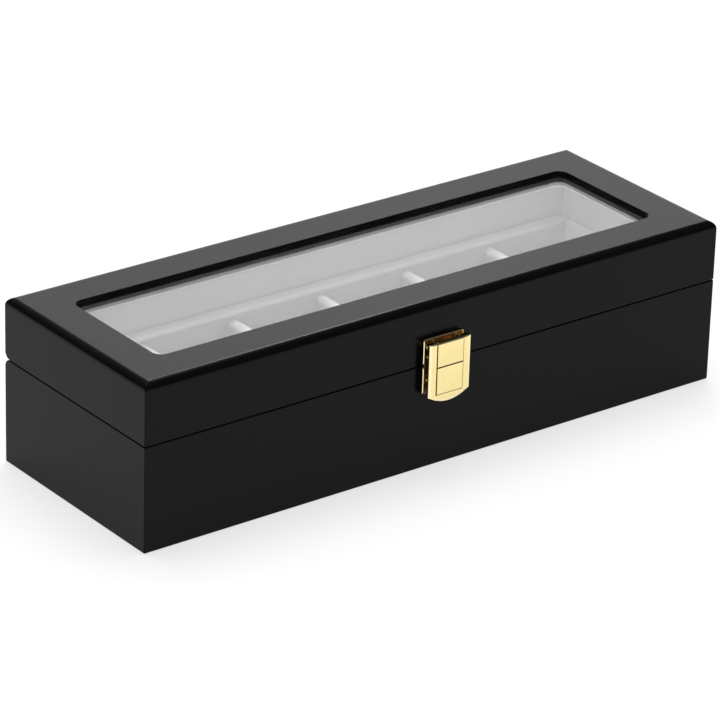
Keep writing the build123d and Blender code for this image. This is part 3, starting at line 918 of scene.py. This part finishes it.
flap_low, flap_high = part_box("latch_flap")
seam = (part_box("base_front_wall")[1].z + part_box("lid_front_wall")[0].z) / 2
rim = arc_steps(FLAP_EDGE) + [FLAP_RIM]
corner = flap_low.z + FLAP_BOW  # level of the bow's two ends
land = seam - FIELD_DROP - CHANNEL  # below this line the face is plain
bow_rows = [corner + (land - corner) * i / len(rim) for i in range(len(rim))]
flap_xs = [flap_low.x + step for step in rim] + field_lines(-FIELD_HALF, 1)
flap_xs += [FIELD_HALF * (2 * i / FIELD_CELLS - 1) for i in range(2, FIELD_CELLS - 1)]
flap_xs += field_lines(FIELD_HALF, -1) + [flap_high.x - step for step in rim]
flap_zs = bow_rows + field_lines(seam - FIELD_DROP, 1) + field_lines(seam - FIELD_GAP / 2, -1)
flap_zs += field_lines(seam + FIELD_GAP / 2, 1) + [flap_high.z - step / 2 for step in rim]
print("flap's grid:", len(in_order(flap_xs)), "by", len(in_order(flap_zs)), "lines")

# %% [markdown]
# The flap starts as the same six-sided grid as a board.  Its front points get their heights, and
# its lowest rows are bent to the bow.  The channel and the flap's back, where the wheel never
# reached, get the brown gilt, which is painted shade, and the rim gets the pale gilt, a painted
# highlight.  A mask texture could paint this, but three materials on one mesh are sharper, and
# each face takes its own by where it lies.

# %% Latch flap
# slots for the painted shade and the painted highlight
SHADE_SLOT, HIGHLIGHT_SLOT = 1, 2  # after the polished gilt in slot 0


def inside_field(x, z):
    """How far inside the edge of the nearer field this point of the face lies."""
    side = FIELD_HALF - abs(x)
    upper = min(side, z - seam - FIELD_GAP / 2)
    lower = min(side, seam - FIELD_GAP / 2 - z, z - seam + FIELD_DROP)
    return max(upper, lower)


def inside_edges(x, z):
    """How far inside the flap's sides and top this point lies; the top's rim is half as wide."""
    return min(flap_high.x - abs(x), 2 * (flap_high.z - z))


def latch_flap():
    bm = bmesh.new()
    levels = [FLAP_BACK - FLAP_THICKNESS, FLAP_BACK]
    vertices = box_surface(bm, [in_order(flap_xs), levels, in_order(flap_zs)])
    for face in bm.faces:
        x, y, z = face.calc_center_median()
        # painted shade on the flap's back and in the channel, painted highlight on the rim
        if face.normal.y > 0.5 or -CHANNEL < inside_field(x, z) < HAIR:
            face.material_index = SHADE_SLOT
        elif inside_edges(x, z) < FLAP_RIM or z < bow_rows[-1]:
            face.material_index = HIGHLIGHT_SLOT
    for (_, depth, row), vertex in vertices.items():
        x, y, z = vertex.co
        if depth == 0:
            inside = min(inside_edges(x, z), rim[row] if row < len(rim) else FLAP_RIM)
            vertex.co.y += rim_profile(inside) - field_profile(inside_field(x, z))
        if row < len(bow_rows):
            bowed = corner - FLAP_BOW * (1 - (x / flap_high.x) ** 2)
            squeeze = min(1.0, (land - bowed) / (FLAP_RIM + HAIR))
            vertex.co.z = bowed + rim[row] * squeeze
    piece = finish_piece("gilt_latch_flap", bm, GILT, "flap", "polished_gilt", "latch_flap")
    piece.data.materials.append(SHADE_GILT)
    piece.data.materials.append(HIGHLIGHT_GILT)
    piece.data.set_sharp_from_angle(angle=radians(25))
    return piece


flap_piece = latch_flap()
print("latch flap:", len(flap_piece.data.polygons), "faces")

# %% [markdown]
# Behind the flap are the two knuckles that turn on the pin, and the bar that snaps under the
# keeper.  They are cast with it, so they run into its back.  A cylinder primitive would have flat
# sharp ends, and a cast bar has none, so each is a small grid box whose edges roll over by the
# bar's own radius.  Only the knuckles' outer sides met the wheel; the catch gets the brown gilt,
# rough where the wheel never reached and painted dark as shade.

# %% Knuckles and catch
BARREL_RADIUS, BARREL_LENGTH = 1.4 * MM, 4.5 * MM
BARREL_END = 0.5 * MM  # radius of the barrels' ends
CATCH_HALF, CATCH_RADIUS = 5.0 * MM, 0.7 * MM
CATCH_REACH = 1.4 * MM  # from the back of the flap to the bar's middle
CATCH_LEVEL = 38.65 * MM
SINK = 0.3 * MM  # how far each bar runs into the flap


def cast_bar(name, low, high, rolls, finish):
    """A cast bar of the flap, from its corners and the radius of each side's edges."""
    bm = bmesh.new()
    lines = []
    for axis, (first, last) in enumerate(rolls):
        line = [low[axis] + step for step in (arc_steps(first) if first else [0.0])]
        line += [high[axis] - step for step in (arc_steps(last) if last else [0.0])]
        lines.append(in_order(line))
    box_surface(bm, lines)
    for vertex in bm.verts:
        vertex.co = rolled(vertex.co.copy(), low, high, rolls)
    piece = finish_piece(name, bm, finish, "flap", "polished_gilt", "latch_flap")
    piece.data.set_sharp_from_angle(angle=radians(40))
    return piece


def knuckles_and_catch():
    bars = []
    for side, name in ((-1, "left"), (1, "right")):
        near, far = sorted((side * flap_high.x, side * (flap_high.x - BARREL_LENGTH)))
        start = Vector((near, FLAP_BACK - SINK, flap_high.z - 2 * BARREL_RADIUS))
        end = Vector((far, FLAP_BACK + 2 * BARREL_RADIUS, flap_high.z))
        rolls = [(BARREL_END, BARREL_END), (0.0, BARREL_RADIUS), (BARREL_RADIUS, BARREL_RADIUS)]
        bars.append(cast_bar(f"{name}_latch_knuckle", start, end, rolls, GILT))
    start = Vector((-CATCH_HALF, FLAP_BACK - SINK, CATCH_LEVEL - CATCH_RADIUS))
    end = Vector((CATCH_HALF, FLAP_BACK + CATCH_REACH + CATCH_RADIUS, CATCH_LEVEL + CATCH_RADIUS))
    rolls = [(CATCH_RADIUS, CATCH_RADIUS), (0.0, CATCH_RADIUS), (CATCH_RADIUS, CATCH_RADIUS)]
    # the catch takes the brown gilt, painted shade
    bars.append(cast_bar("latch_catch", start, end, rolls, SHADE_GILT))
    return bars


bars = knuckles_and_catch()
print("behind the flap:", ", ".join(bar.name for bar in bars))

# %% [markdown]
# The latch plates are pressed from sheet, and tumbling softened their edges.  The construction's
# edges are sharp, and a sharp edge never catches the light.  A new mesh could replace each plate,
# but their shape is right, and a bevel modifier rounds the edges without touching the pieces' own
# points.  It needs neighbouring faces to share their points, so a weld comes before it, and after
# it the edges are split and the normals weighted, so that the flat faces stay flat.

# %% Soften the pressed plates
PLATE_EDGE = 0.3 * MM  # width of the softened edge
WELD_GAP = 0.001 * MM


def soften(node, width):
    """Round a rigid piece's sharp edges a little, as tumbling and polishing do, and give the
    rounds a painted highlight.
    """
    piece = frame["nodes"][node]
    weld = piece.modifiers.new("joined_faces", "WELD")
    weld.merge_threshold = WELD_GAP
    bevel = piece.modifiers.new("polished_edges", "BEVEL")
    bevel.width = width
    bevel.segments = 1
    bevel.use_clamp_overlap = False  # the corners' short arcs would make it hair-thin
    bevel.limit_method = "ANGLE"
    bevel.angle_limit = radians(40)
    # the bevel's faces take the pale gilt: a painted highlight along the softened edges
    bevel.material = len(piece.material_slots)
    # the plate's own faces take the darker gilt, partly painted shade of their place behind the
    # flap
    piece.material_slots[0].material = SHADED_PLATE_GILT
    piece.data.materials.append(HIGHLIGHT_GILT)
    split = piece.modifiers.new("crisp_facets", "EDGE_SPLIT")
    split.split_angle = radians(30)
    normals = piece.modifiers.new("flat_faces_stay_flat", "WEIGHTED_NORMAL")
    normals.weight = 100
    return piece


plates = [soften(node, PLATE_EDGE) for node in ("latch_lid_plate", "latch_base_plate")]
print("softened:", ", ".join(plate.name for plate in plates))

# %% [markdown]
# The felt on the underside is one sheet, cut a little smaller than the bottom and glued on flat.
# Cloth that is glued down all over neither hangs nor folds, so nothing needs to be simulated.  It
# is the wrapped board once more, without any wander, and with a roll at its edge as soft as
# felt's.

# %% Underside felt
FELT_ROLL = 0.4 * MM


def felt_sheet():
    low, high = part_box("underside_felt")
    bm = wrapped_board(low, high, [(FELT_ROLL, FELT_ROLL)] * 3, drift=0.0)
    piece = finish_piece("underside_felt_sheet", bm, FELT, "base", "black_felt", "underside_felt")
    return piece


felt = felt_sheet()
low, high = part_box("underside_felt")
print("underside felt:", [round(x / MM) for x in high - low], "mm")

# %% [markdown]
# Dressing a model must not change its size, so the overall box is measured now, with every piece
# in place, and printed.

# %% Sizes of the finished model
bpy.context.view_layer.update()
lowest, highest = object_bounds()
print("finished box:", [round((b - a) / MM, 1) for a, b in zip(lowest, highest)], "mm")
